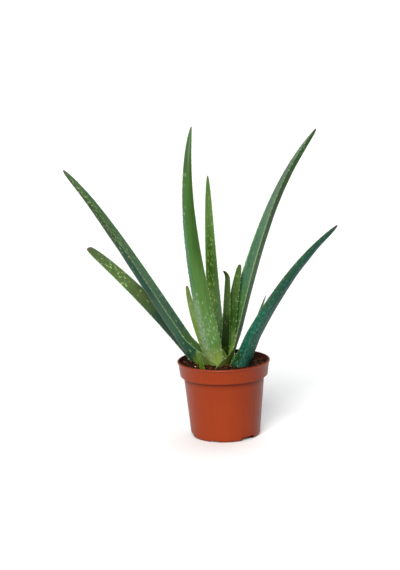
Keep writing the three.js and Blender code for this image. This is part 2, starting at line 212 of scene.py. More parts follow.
# What each leaf's skin looks like: the colour of its outer side (back) and inner side (face), and soft washes
# over one of these; some washes are painted light or shade, and say so where they stand. A wash, the bloom
# and the flecks each lie in two spans that rise, hold and fall: one from margin to margin (-1 to 1), one from
# root to tip (0 to 1). Bloom, flecks and line start with how dense they are. The line is the pale horn along
# the margins, and margin its width in mm.
ALL = (-2, -1, 1, 2)
SKINS = {
    "leaf_front_tall": dict(
        back="#3d642c", face="#3f6128", edge="#6f8f5a", margin=0.9, fleck="#9cba8a",
        washes=[
            # painted shade: the upper right side darker, turned away from the light
            ("back", "#33551e", (-2, -1, -0.5, 0.1), (0.4, 0.55, 0.95, 1.05)),
            # painted light: the left side lighter where it catches the light
            ("back", "#457348", (0.1, 0.5, 1, 2), (0.25, 0.35, 0.62, 0.85)),
            ("back", "#4f7436", (-2, -1, 0, 0.4), (-2, -1, 0.4, 0.56)),
            # painted light: the lower right side lifted where it lies in shade
            ("back", "#587f40", (-2, -1, 0, 0.4), (-2, -1, 0.2, 0.36)),
            # painted light: the lower left side lighter, a sheen where it catches the light
            ("back", "#65864f", (-0.2, 0.2, 1, 2), (-2, -1, 0.28, 0.42)),
            ("back", "#8fa24e", ALL, (-2, -1, 0.05, 0.15)),
            ("back", "#46633a", ALL, (0.8, 0.95, 1, 2)),
        ],
        bloom=(0.5, (-0.5, 0.4, 0.8, 1.1), (0.03, 0.12, 0.22, 0.38)),
        flecks=[(0.6, (-0.3, 0.2, 1, 2), (-0.2, 0.05, 0.28, 0.46)), (0.4, ALL, (-0.2, 0.02, 0.24, 0.42)),
                (0.3, (0.1, 0.3, 0.6, 0.9), (0.4, 0.5, 0.9, 1))]),
    "leaf_back": dict(
        back="#35521f", face="#426626", edge="#78965a", margin=0.9, fleck="#7f9e52",
        washes=[
            # painted shade: a darker band down the channel of the inner face
            ("face", "#305408", (-0.7, -0.3, 0.1, 0.5), (0.36, 0.46, 0.6, 0.75)),
            ("face", "#4a6814", (-2, -1, 0, 0.4), (-2, -1, 0.36, 0.5)),
            ("face", "#395c22", (0, 0.4, 1, 2), (-2, -1, 0.5, 0.6)),
            ("face", "#527438", ALL, (0.6, 0.85, 1, 2)),
        ],
        bloom=(0.1, ALL, (0, 0.1, 0.3, 0.5)),
        flecks=[(0.6, (-1, -0.6, 0.3, 0.7), (0.1, 0.2, 0.55, 0.7)), (0.45, ALL, (0.5, 0.6, 0.9, 1))]),
    "leaf_right_tall": dict(
        # painted light and shade: the inner face lighter and the back darker, as the light falls on them
        back="#2f5030", face="#386648", edge="#a2bc82", margin=1.5, fleck="#7d9c70",
        washes=[
            ("back", "#345b38", ALL, (0.18, 0.26, 0.4, 0.5)),
            # painted light: the back's root lifted where the crown shades it
            ("back", "#63762c", ALL, (-2, -1, 0.07, 0.19)),
            ("back", "#2d4c22", ALL, (0.55, 0.75, 1, 2)),
            ("face", "#3c6a2c", ALL, (0.08, 0.14, 0.26, 0.38)),
            # painted light: the face's root lifted where the crown shades it
            ("face", "#6c8834", ALL, (-2, -1, 0.08, 0.18)),
            ("face", "#4a654b", ALL, (0.5, 0.7, 1, 2)),
        ],
        bloom=(0.1, ALL, (0.1, 0.25, 0.5, 0.8)),
        flecks=[(0.1, ALL, (0, 0.1, 0.9, 1))],
        line=(0.75, ALL, (-2, -1, 0.45, 0.75))),
    "leaf_right_low": dict(
        back="#095040", face="#355c30", edge="#56704a", margin=1.0, fleck="#3d8170",
        washes=[
            ("back", "#2a4d35", (0.5, 0.9, 1, 2), (0.3, 0.45, 1, 2)),
            ("back", "#12553f", (0.4, 0.7, 1, 2), (0.16, 0.24, 0.36, 0.46)),
            ("back", "#185f50", (-2, -1, -0.1, 0.2), (0.18, 0.26, 0.36, 0.5)),
            # painted shadow: the left side darker at the root, where the tall leaf beside it shades it
            ("back", "#22401b", (0.5, 0.75, 1, 2), (-2, -1, 0.1, 0.2)),
            ("back", "#46652c", (-2, -1, -0.8, -0.5), (-2, -1, 0.12, 0.22)),
        ],
        bloom=(0.12, (-0.9, -0.7, 0.6, 0.8), (0, 0.05, 0.4, 0.6)),
        flecks=[(0.55, (-2, -1, 0.85, 1), (-0.2, 0.02, 0.4, 0.6)), (0.4, ALL, (-0.2, 0.02, 0.9, 1))]),
    "leaf_left_long": dict(
        back="#18412c", face="#34573a", edge="#7c9a68", margin=1.0, fleck="#86a065",
        washes=[
            ("back", "#2d4f39", (-1, -0.95, -0.7, -0.5), (0.16, 0.25, 0.36, 0.42)),
            ("back", "#2a4423", ALL, (0.55, 0.7, 1, 2)),
            ("back", "#5a7030", ALL, (-2, -1, 0.09, 0.13)),
            ("face", "#365b1f", (-2, -1, 0, 0.4), (0.5, 0.62, 1, 2)),
            ("face", "#345a33", (0, 0.4, 1, 2), (0.42, 0.55, 1, 2)),
            # painted sheen: a bluish teal band on the upper side of the inner face, low on the leaf
            ("face", "#1f4333", (0.1, 0.5, 1, 2), (0.2, 0.25, 0.34, 0.42)),
            ("face", "#335220", ALL, (-2, -1, 0.18, 0.25)),
        ],
        bloom=(0.12, (0, 0.4, 1, 2), (0.1, 0.3, 0.6, 0.8)),
        flecks=[(0.6, (-2, -1, 0.2, 0.6), (0.5, 0.62, 0.9, 1)), (0.06, ALL, (0, 0.1, 0.5, 0.6))],
        line=(0.7, ALL, (-2, -1, 0.3, 0.6))),
    "leaf_left_low": dict(
        back="#35501f", face="#3c541c", edge="#6a845a", margin=0.9, fleck="#8fac62",
        washes=[
            ("face", "#2e4314", ALL, (0.46, 0.52, 0.6, 0.7)),
            ("face", "#374812", (-0.6, -0.2, 0.4, 0.8), (0.54, 0.57, 0.6, 0.66)),
            ("face", "#6f7a4c", (0, 0.1, 0.2, 0.3), (0.525, 0.532, 0.54, 0.548)),
            # painted shade: the lower part near black, where the long leaf in front shades it
            ("face", "#03301a", ALL, (-2, -1, 0.44, 0.52)),
            ("face", "#3a4c1c", ALL, (0.82, 0.92, 1, 2)),
        ],
        bloom=(0.05, ALL, (0.5, 0.7, 0.9, 1)),
        flecks=[(0.45, (-2, -1, 0.6, 0.9), (0.56, 0.66, 0.88, 0.94))]),
    "leaf_inner_left": dict(
        back="#6b8648", face="#6b8648", edge="#7f955f", margin=0.9, fleck="#a8bf7c",
        washes=[("face", "#64802e", ALL, (-2, -1, 0.5, 0.75))],
        bloom=(0.1, ALL, (0.5, 0.7, 1, 2)),
        flecks=[(0.08, ALL, (0, 0.1, 0.9, 1))]),
    "leaf_inner_dark": dict(
        back="#344d1a", face="#314a12", edge="#6f8a48", margin=0.8, fleck="#6f8a48",
        washes=[
            ("face", "#426026", (0, 0.5, 1, 2), (0.5, 0.6, 1, 2)),
            # painted shade: the lower part near black, deep among the other leaves
            ("face", "#1a3003", ALL, (-2, -1, 0.45, 0.6)),
        ],
        bloom=(0.05, ALL, (0.5, 0.7, 1, 2)),
        flecks=[(0.15, ALL, (0, 0.1, 0.9, 1))]),
    "leaf_inner_green": dict(
        back="#3a561f", face="#3a5620", edge="#587542", margin=0.8, fleck="#6f9048",
        washes=[
            ("face", "#2e4e1a", ALL, (0.3, 0.4, 0.5, 0.68)),
            ("face", "#4f6734", (-0.2, 0.3, 1, 2), (0.1, 0.2, 0.34, 0.42)),
        ],
        bloom=(0.05, ALL, (0.5, 0.7, 1, 2)),
        flecks=[(0.15, ALL, (0, 0.1, 0.9, 1))]),
    "leaf_right_short": dict(
        back="#2e4f27", face="#2e4f27", edge="#4f6a40", margin=0.7, fleck="#6f9060",
        washes=[("back", "#24402a", ALL, (0.7, 0.9, 1, 2))],
        bloom=(0.0, ALL, ALL),
        flecks=[(0.08, ALL, (0, 0.1, 0.9, 1))]),
    "pup_leaf": dict(
        back="#4d6a20", face="#4d6a20", edge="#6f8a48", margin=0.7, fleck="#8fa85c",
        washes=[
            ("back", "#628036", (0.2, 0.6, 1, 2), (0.4, 0.6, 1, 2)),
            ("back", "#4b5f0d", ALL, (-2, -1, 0.4, 0.6)),
        ],
        bloom=(0.1, ALL, (0.5, 0.7, 1, 2)),
        flecks=[(0.06, ALL, (0, 0.1, 0.9, 1))],
        scorch=0.0),
}

PLAIN_LINE = (0.7, ALL, ALL)
PLAIN_SCORCH = 0.85  # how brown a dried tip is; a new leaf's tip is still green
SCORCH_FROM, SCORCH_FULL = 0.972, 0.995  # shares of the leaf's length
FLECK_WIDTH, FLECK_LENGTH = 2.7, 6.6  # mm between flecks, across and along
# The skin's fine patterns: mm across the leaf, mm along it, detail.
PATTERNS = {
    "drift": (16, 60, 2), "streaks": (1.1, 45, 2), "powder": (2.2, 5, 4), "wobble": (2.2, 6, 1),
    "grain": (0.9, 1.8, 2),
}
LEAF_SHIFT = (61.0, 23.0)  # mm that each leaf's patterns lie off the last one's


def aloe_cuticle(name, skin, number):
    """Living aloe skin: a waxy cuticle grown over wet flesh. It is satin, lets a little light in, and carries
    pale oblong flecks, a pale horny margin and a powdery bloom that dulls it."""
    material, tree, shader = new_material(name)
    kept = {}
    for label, output in (("tone", "Color"), ("skin", "Vector"), ("share", "Fac"), ("edge", "Fac"),
                          ("bloom", "Fac"), ("crowd", "Fac"), ("line", "Fac")):
        kept[label] = add(tree, "ShaderNodeAttribute", attribute_name=label).outputs[output]
    shift = (LEAF_SHIFT[0] * number, LEAF_SHIFT[1] * number, 0)
    own = add(tree, "ShaderNodeVectorMath", {0: kept["skin"], 1: shift})
    pattern = {}
    for label, (width, length, detail) in PATTERNS.items():
        scaled = add(tree, "ShaderNodeVectorMath", {0: own, 1: (1 / width, 1 / length, 1)},
                     operation="MULTIPLY")
        pattern[label] = add(tree, "ShaderNodeTexNoise", {
            "Vector": scaled, "Scale": 1.0, "Detail": float(detail),
        })

    # Each fleck is the middle of one cell of an uneven grid.
    place = add(tree, "ShaderNodeVectorMath", {0: own, 1: (1 / FLECK_WIDTH, 1 / FLECK_LENGTH, 1)},
                operation="MULTIPLY")
    sway = add(tree, "ShaderNodeVectorMath", {0: pattern["wobble"].outputs["Color"], 1: (0.5, 0.5, 0)},
               operation="MULTIPLY")
    cells = add(tree, "ShaderNodeTexVoronoi", {
        "Vector": add(tree, "ShaderNodeVectorMath", {0: place, 1: sway}), "Scale": 1.0, "Randomness": 0.9,
    }, voronoi_dimensions="2D")
    lot = add(tree, "ShaderNodeSeparateColor", {"Color": cells.outputs["Color"]})
    chosen = add(tree, "ShaderNodeMath", {0: lot.outputs["Red"], 1: kept["crowd"]}, operation="LESS_THAN")
    reach = add(tree, "ShaderNodeMath", {0: lot.outputs["Green"], 1: 0.24, 2: 0.22}, operation="MULTIPLY_ADD")
    depth = add(tree, "ShaderNodeMath", {0: reach, 1: cells.outputs["Distance"]}, operation="SUBTRACT")
    inside = add(tree, "ShaderNodeMapRange", {"Value": depth, "From Min": -0.04, "From Max": 0.2},
                 interpolation_type="SMOOTHSTEP")
    strength = add(tree, "ShaderNodeMath", {0: lot.outputs["Blue"], 1: 0.5, 2: 0.35},
                   operation="MULTIPLY_ADD")
    fleck = add(tree, "ShaderNodeMath", {0: inside, 1: chosen}, operation="MULTIPLY")
    fleck = add(tree, "ShaderNodeMath", {0: fleck, 1: strength}, operation="MULTIPLY")

    # The powder gathers in patches, the horn is whole along the margin, and the very tip is scorched.
    spans = {
        "powder": (pattern["powder"], 0.38, 0.62, kept["bloom"]),
        "horn": (kept["edge"], skin["margin"] * 1.3, skin["margin"] * 0.5, kept["line"]),
        "scorch": (kept["share"], SCORCH_FROM, SCORCH_FULL, skin.get("scorch", PLAIN_SCORCH)),
    }
    amount = {"fleck": fleck}
    for label, (value, nothing, full, most) in spans.items():
        rise = add(tree, "ShaderNodeMapRange", {"Value": value, "From Min": nothing, "From Max": full},
                   interpolation_type="SMOOTHSTEP")
        amount[label] = add(tree, "ShaderNodeMath", {0: rise, 1: most}, operation="MULTIPLY")

    tone = kept["tone"]
    for label, most in (("drift", 0.4), ("streaks", 0.3)):
        rise = add(tree, "ShaderNodeMapRange", {
            "Value": pattern[label], "From Min": 0.3, "From Max": 0.7, "To Min": 0.28, "To Max": 0.72,
        })
        tone = add(tree, "ShaderNodeMix", {"Factor": most, "A": tone, "B": rise}, data_type="RGBA",
                   blend_type="OVERLAY")
    for label, colour in (("powder", "#9db89a"), ("fleck", skin["fleck"]), ("horn", skin["edge"]),
                          ("scorch", "#4f4438")):
        tone = add(tree, "ShaderNodeMix", {"Factor": amount[label], "A": tone, "B": linear(colour)},
                   data_type="RGBA")

    dulled = add(tree, "ShaderNodeMath", {0: amount["powder"], 1: 0.22, 2: 0.36}, operation="MULTIPLY_ADD")
    rough = add(tree, "ShaderNodeMath", {0: pattern["streaks"], 1: 0.12, 2: dulled}, operation="MULTIPLY_ADD")
    relief = add(tree, "ShaderNodeMath", {0: fleck, 1: 0.8, 2: pattern["streaks"]}, operation="MULTIPLY_ADD")
    relief = add(tree, "ShaderNodeMath", {0: pattern["grain"], 1: 0.35, 2: relief}, operation="MULTIPLY_ADD")
    bump = add(tree, "ShaderNodeBump", {"Strength": 0.35, "Distance": 0.35 * MM, "Height": relief})
    feed(tree, shader, {
        "Base Color": tone, "Roughness": rough, "Normal": bump, "IOR": 1.45, "Specular IOR Level": 0.22,
        "Subsurface Weight": 0.1, "Subsurface Radius": (0.4, 1.0, 0.2), "Subsurface Scale": 1.5 * MM,
    })
    return material


def aloe_tooth_horn():
    """Marginal teeth: hardened leaf edge, green at the root and paler at the point, with a slight shine."""
    material, tree, shader = new_material("aloe_tooth_horn")
    point = add(tree, "ShaderNodeAttribute", attribute_name="point").outputs["Fac"]
    tone = add(tree, "ShaderNodeMix", {"Factor": point, "A": linear("#84a06c"), "B": linear("#a8b088")},
               data_type="RGBA")
    feed(tree, shader, {
        "Base Color": tone, "Roughness": 0.35, "Subsurface Weight": 0.15, "Subsurface Scale": 0.6 * MM,
    })
    return material


def aloe_stem_bark():
    """The buried stem: pale fibrous tissue with dry leaf scars round it, so matt and ringed."""
    material, tree, shader = new_material("aloe_stem_bark")
    place = add(tree, "ShaderNodeTexCoord").outputs["Object"]
    rings = add(tree, "ShaderNodeTexWave", {
        "Vector": place, "Scale": 120.0, "Distortion": 3.0, "Detail": 2.0,
    }, bands_direction="Z")
    tone = add(tree, "ShaderNodeMix", {
        "Factor": rings.outputs["Fac"], "A": linear("#6d6a3c"), "B": linear("#a3a468"),
    }, data_type="RGBA")
    feed(tree, shader, {"Base Color": tone, "Roughness": 0.8})
    return material


# Painted shade under the collar's overhang: it starts this far under the collar's foot and is full here
COLLAR_SHADE_FROM, COLLAR_SHADE_FULL = 9, 2  # mm under the collar's foot


def moulded_polypropylene():
    """Nursery-pot polypropylene, injection moulded and coloured right through: satin, with a fine mould
    grain and faint upright flow marks, and patchy painted shade on the wall inside the rim, on the rim's top
    and under the collar."""
    material, tree, shader = new_material("moulded_polypropylene")
    place = add(tree, "ShaderNodeTexCoord").outputs["Object"]
    inside = add(tree, "ShaderNodeAttribute", attribute_name="inside").outputs["Fac"]
    height = add(tree, "ShaderNodeSeparateXYZ", {"Vector": place}).outputs["Z"]
    drawn = add(tree, "ShaderNodeVectorMath", {0: place, 1: (1 / 0.006, 1 / 0.006, 1 / 0.09)},
                operation="MULTIPLY")
    flow = add(tree, "ShaderNodeTexNoise", {"Vector": drawn, "Scale": 1.0, "Detail": 3.0})
    cloud = add(tree, "ShaderNodeTexNoise", {"Vector": place, "Scale": 1 / 0.03, "Detail": 3.0})
    tone = add(tree, "ShaderNodeMix", {"Factor": cloud, "A": linear("#8f310b"), "B": linear("#97370e")},
               data_type="RGBA")
    marks = add(tree, "ShaderNodeMapRange", {
        "Value": flow, "From Min": 0.35, "From Max": 0.75, "To Max": 0.35,
    })
    tone = add(tree, "ShaderNodeMix", {"Factor": marks, "A": tone, "B": linear("#852f10")}, data_type="RGBA")
    # uneven patches in the painted shade
    shade_patches = add(tree, "ShaderNodeTexNoise", {
        "Vector": place, "Scale": 1 / 0.004, "Detail": 5.0, "Roughness": 0.7,
    })
    foot = COLLAR_FOOT * MM
    # painted shade in a band under the collar, at most 0.35
    collar_shade = add(tree, "ShaderNodeMapRange", {
        "Value": height, "From Min": foot - COLLAR_SHADE_FROM * MM, "From Max": foot - COLLAR_SHADE_FULL * MM,
    })
    below = add(tree, "ShaderNodeMath", {0: height, 1: foot}, operation="LESS_THAN")
    collar_shade = add(tree, "ShaderNodeMath", {0: collar_shade, 1: below}, operation="MULTIPLY")
    collar_shade = add(tree, "ShaderNodeMath", {0: collar_shade, 1: 0.35}, operation="MULTIPLY")
    # painted shade: the inside wall and the rim's top, from the inside mark, and the band under the collar,
    # darkened towards near black
    painted_shade = add(tree, "ShaderNodeMath", {0: inside, 1: collar_shade}, operation="MAXIMUM")
    patchy = add(tree, "ShaderNodeMapRange", {
        "Value": shade_patches, "From Min": 0.3, "From Max": 0.65, "To Min": 0.7,
    })
    painted_shade = add(tree, "ShaderNodeMath", {0: painted_shade, 1: patchy}, operation="MULTIPLY")
    tone = add(tree, "ShaderNodeMix", {"Factor": painted_shade, "A": tone, "B": linear("#120704")}, data_type="RGBA")
    rough = add(tree, "ShaderNodeMapRange", {"Value": painted_shade, "To Min": 0.4, "To Max": 0.85})
    grain = add(tree, "ShaderNodeTexNoise", {"Vector": place, "Scale": 1 / 0.0008, "Detail": 2.0})
    relief = add(tree, "ShaderNodeMath", {0: flow, 1: 0.8, 2: grain}, operation="MULTIPLY_ADD")
    bump = add(tree, "ShaderNodeBump", {"Strength": 0.12, "Distance": 0.2 * MM, "Height": relief})
    feed(tree, shader, {
        "Base Color": tone, "Roughness": rough, "Normal": bump, "IOR": 1.49, "Specular IOR Level": 0.26,
    })
    return material


def peat_mix(name, dark, mid, light):
    """Screened potting peat: damp dark crumbs and brown fibre, fully matt, no two crumbs the same brown."""
    material, tree, shader = new_material(name)
    place = add(tree, "ShaderNodeTexCoord").outputs["Object"]
    crumb = add(tree, "ShaderNodeAttribute", attribute_name="crumb").outputs["Fac"]
    speckle = add(tree, "ShaderNodeTexNoise", {
        "Vector": place, "Scale": 1 / 0.0022, "Detail": 6.0, "Roughness": 0.7,
    })
    blend = add(tree, "ShaderNodeMath", {0: speckle, 1: 0.5, 2: -0.25}, operation="MULTIPLY_ADD")
    blend = add(tree, "ShaderNodeMath", {0: blend, 1: crumb}, operation="ADD")
    tone = add(tree, "ShaderNodeValToRGB", {"Fac": blend})
    ramp = tone.color_ramp
    ramp.elements[0].position, ramp.elements[0].color = 0.1, linear(dark)
    ramp.elements[1].position, ramp.elements[1].color = 0.97, linear(light)
    ramp.elements.new(0.62).color = linear(mid)
    bump = add(tree, "ShaderNodeBump", {"Strength": 0.7, "Distance": 0.5 * MM, "Height": speckle})
    feed(tree, shader, {
        "Base Color": tone, "Roughness": 0.92, "Specular IOR Level": 0.12, "Normal": bump,
    })
    return material


def studio_floor():
    """Matt white painted board: a very slight roller texture, no shine."""
    material, tree, shader = new_material("painted_board")
    place = add(tree, "ShaderNodeTexCoord").outputs["Object"]
    roller = add(tree, "ShaderNodeTexNoise", {"Vector": place, "Scale": 1 / 0.002, "Detail": 2.0})
    tone = add(tree, "ShaderNodeMix", {"Factor": roller, "A": linear("#f4f4f4"), "B": linear("#f8f8f8")},
               data_type="RGBA")
    feed(tree, shader, {"Base Color": tone, "Roughness": 0.85, "Specular IOR Level": 0.2})
    return material


# ---- leaves ----

SPINE_STEPS = 120
RINGS = 150
BACK_POINTS, FACE_POINTS = 29, 23
NECK_END, SHEATH_END, SHEATH_DEPTH = 0.16, 0.2, 0.6
CHANNEL_DEPTH, CHANNEL_FADE, BACK_ROUNDNESS, TIP_CROWDING = 0.45, 1.3, 3, 1.25
SWAY = 0.018, 17  # how far a margin wanders, as a share of the half width, and mm along
RIB = 0.14, 2.6, 70  # mm high, mm across, mm along
DENT = 0.38, 11, 24
FULL_RELIEF = 6  # mm, a narrower half width has shallower ribs and dents
FACE_SHIFT = 40  # keeps the patterns of the inner face apart from those of the back


def leaf_directions(leaf, s):
    """Along the leaf, across it and out of its inner face, at each share s of its length."""
    heading = np.radians(leaf["heading"] + leaf.get("turn", 0) * s)
    low, high = leaf["lean"]
    tilt = low + (high - low) * s ** leaf.get("bend", 1)
    if "fold" in leaf:
        at, span, turn = leaf["fold"]
        tilt = tilt + turn * smooth((s - at + span) / (2 * span))
    tilt = np.radians(tilt)
    out = np.stack([np.cos(heading), np.sin(heading), 0 * s], 1)
    rise = np.array([0, 0, 1.0])
    along = out * np.sin(tilt)[:, None] + rise * np.cos(tilt)[:, None]
    inward = rise * np.sin(tilt)[:, None] - out * np.cos(tilt)[:, None]
    across = np.cross(along, inward)
    first, last = leaf.get("roll", (0, 0))
    roll = np.radians(first + (last - first) * s)[:, None]
    return (along, across * np.cos(roll) + inward * np.sin(roll),
            inward * np.cos(roll) - across * np.sin(roll))


def leaf_spine(leaf, s):
    steps = (np.arange(SPINE_STEPS) + 0.5) / SPINE_STEPS
    along = leaf_directions(leaf, steps)[0] * leaf["length"] / SPINE_STEPS
    joints = np.vstack([[leaf["root"]], np.array(leaf["root"]) + np.cumsum(along, 0)])
    shares = np.linspace(0, 1, SPINE_STEPS + 1)
    return np.stack([np.interp(s, shares, joints[:, axis]) for axis in range(3)], 1)


def wander(x, y, z):
    return noise.noise(Vector((x, y, z)))


def covering(u, s, across, share):
    """How much of a soft-edged patch lies at each ring s and each point u of the ring."""
    return (smooth(np.interp(u, across, (0, 1, 1, 0)))[None, :]
            * smooth(np.interp(s, share, (0, 1, 1, 0)))[:, None])


def leaf_tones(skin, u, s, is_face):
    """The skin's plain colour before its fine patterns, at each ring and each point of the ring."""
    sides = []
    for side in ("back", "face"):
        tone = np.broadcast_to(linear(skin[side]), (len(s), len(u), 4)).copy()
        for where, colour, across, share in skin["washes"]:
            if where == side:
                tone += (linear(colour) - tone) * covering(u, s, across, share)[..., None]
        sides.append(tone)
    return sides[0] + (sides[1] - sides[0]) * is_face[None, :, None]


def leaf_blade(name, leaf, number):
    """The blade as a closed mesh, with what its skin and teeth need to know kept at each corner."""
    s = 1 - (1 - np.arange(RINGS) / RINGS) ** TIP_CROWDING
    along, sideways, inward = leaf_directions(leaf, s)
    spine = leaf_spine(leaf, s)
    end = (1 - s) ** leaf["taper"]
    back = leaf["depth"] * end * (SHEATH_DEPTH + (1 - SHEATH_DEPTH) * smooth(s / SHEATH_END))
    channel = back * CHANNEL_DEPTH * (1 - CHANNEL_FADE * s)
    half = leaf["width"] / 2 * end * (leaf["neck"] + (1 - leaf["neck"]) * smooth(s / NECK_END))
    lift = leaf.get("clasp", 0) * (1 - smooth(s / leaf.get("clasp_end", 1)))
    run = s * leaf["length"]
    margins = [np.array([1 + SWAY[0] * wander(y / SWAY[1], 3.7 * number, side) for y in run])
               for side in (-5, 5)]

    back_u = np.sin(np.linspace(-pi / 2, pi / 2, BACK_POINTS))
    face_u = np.sin(np.linspace(pi / 2, -pi / 2, FACE_POINTS))[1:-1]
    u = np.concatenate([back_u, face_u])
    is_face = np.concatenate([0 * back_u, 0 * face_u + 1])
    is_face[[0, BACK_POINTS - 1]] = 0.5
    count = len(u)
    spread = np.where(u[None] < 0, margins[0][:, None], margins[1][:, None])
    x = half[:, None] * u[None] * spread
    y_back = -back[:, None] * (1 - np.abs(u[None]) ** BACK_ROUNDNESS)
    y_face = -channel[:, None] * (1 - u[None] ** 2)
    y = lift[:, None] * u[None] ** 2 + np.where(is_face[None] > 0.75, y_face, y_back)
    points = spine[:, None] + sideways[:, None] * x[..., None] + inward[:, None] * y[..., None]

    # The way over the skin from one margin to the other.
    step_x, step_y = x - np.roll(x, 1, 1), y - np.roll(y, 1, 1)
    steps = np.hypot(step_x, step_y)
    back_way = np.cumsum(steps[:, 1:BACK_POINTS], 1)
    face_way = np.cumsum(steps[:, BACK_POINTS:], 1)
    face_total = face_way[:, -1:] + steps[:, :1]
    way = np.hstack([0 * steps[:, :1], back_way, face_total - face_way])
    total = np.hstack([np.repeat(back_way[:, -1:], BACK_POINTS, 1),
                       np.repeat(face_total, FACE_POINTS - 2, 1)])
    from_middle = way - total / 2
    from_edge = total / 2 - np.abs(from_middle)

    # Shallow ribs and dents, faded out at the margins and the tip.
    round_way = np.roll(points, -1, 1) - np.roll(points, 1, 1)
    normal = np.cross(round_way, np.broadcast_to(along[:, None], points.shape))
    normal /= np.linalg.norm(normal, axis=2, keepdims=True) + 1e-9
    swell = np.zeros((RINGS, count))
    for i in range(RINGS):
        for j in range(count):
            side = FACE_SHIFT * is_face[j] + 7.3 * number
            rib = wander(x[i, j] / RIB[1], run[i] / RIB[2], side)
            dent = wander(x[i, j] / DENT[1], run[i] / DENT[2], side + 3)
            swell[i, j] = RIB[0] * rib + DENT[0] * dent
    fade = (1 - u[None] ** 4) * np.minimum(half[:, None] / FULL_RELIEF, 1)
    points = points + normal * (swell * fade)[..., None]

    tip = leaf_spine(leaf, np.array([1.0]))[0]
    corners = np.vstack([points.reshape(-1, 3), tip[None]]) * MM
    faces = [tuple(reversed(range(count)))]
    for i in range(RINGS - 1):
        for j in range(count):
            k = (j + 1) % count
            low, high = i * count, (i + 1) * count
            faces.append((low + j, low + k, high + k, high + j))
    top = (RINGS - 1) * count
    faces += [(top + j, top + (j + 1) % count, RINGS * count) for j in range(count)]
    mesh = bpy.data.meshes.new(name)
    mesh.from_pydata(corners.tolist(), [], faces)
    shape = bmesh.new()
    shape.from_mesh(mesh)
    bmesh.ops.recalc_face_normals(shape, faces=shape.faces)
    shape.to_mesh(mesh)
    shape.free()
    mesh.shade_smooth()

    def keep(label, kind, values, last):
        stored = mesh.attributes.new(label, kind, "POINT")
        wide = np.broadcast_to(values, (RINGS, count) + np.shape(last)).reshape((-1,) + np.shape(last))
        flat = np.concatenate([wide, np.asarray(last)[None]])
        field = {"FLOAT_VECTOR": "vector", "FLOAT_COLOR": "color"}.get(kind, "value")
        stored.data.foreach_set(field, flat.astype(bool if kind == "BOOLEAN" else np.float32).ravel())

    skin = SKINS[name]
    tones = leaf_tones(skin, u, s, is_face)
    keep("tone", "FLOAT_COLOR", tones, tones[-1, 0])
    keep("bloom", "FLOAT", skin["bloom"][0] * covering(u, s, *skin["bloom"][1:]), 0.0)
    crowds = [most * covering(u, s, across, share) for most, across, share in skin["flecks"]]
    keep("crowd", "FLOAT", sum(crowds), 0.0)
    amount, across, share = skin.get("line", PLAIN_LINE)
    keep("line", "FLOAT", amount * covering(u, s, across, share), 0.0)
    keep("share", "FLOAT", s[:, None], 1.0)
    keep("edge", "FLOAT", from_edge, 0.0)
    on_skin = np.stack([from_middle + FACE_SHIFT * is_face[None], run[:, None] + 0 * x, 0 * x], -1)
    keep("skin", "FLOAT_VECTOR", on_skin, (0.0, leaf["length"], 0.0))
    keep("margin", "BOOLEAN", (is_face == 0.5)[None], False)
    keep("half", "FLOAT", half[:, None], 0.0)
    keep("outwards", "FLOAT_VECTOR", sideways[:, None] * np.sign(u)[None, :, None], (0.0, 0.0, 1.0))
    keep("tipwards", "FLOAT_VECTOR", np.broadcast_to(along[:, None], points.shape), (0.0, 0.0, 1.0))
    return mesh


FULL_TOOTH_WIDTH = 26  # mm, narrower leaves have smaller teeth
TOOTH_SIZES = {
    "Pitch": 8.5 * MM, "Height": 1.5 * MM, "Sunk": 0.9 * MM, "Root Radius": 0.95 * MM, "Hook": 0.45 * MM,
    "Flatness": 0.6, "From Share": 0.06, "To Share": 0.965, "Seed": SEED,
}
TOOTH_SLIDE = 0.3  # how far a tooth may stand off its even place, as a share of the pitch
TOOTH_LEAN = 0.35  # how much it points to the tip
SMALLEST_TOOTH = 0.4  # share of the full size
FIXED_PITCH = 0.4  # share of the pitch that doesn't shrink with the teeth


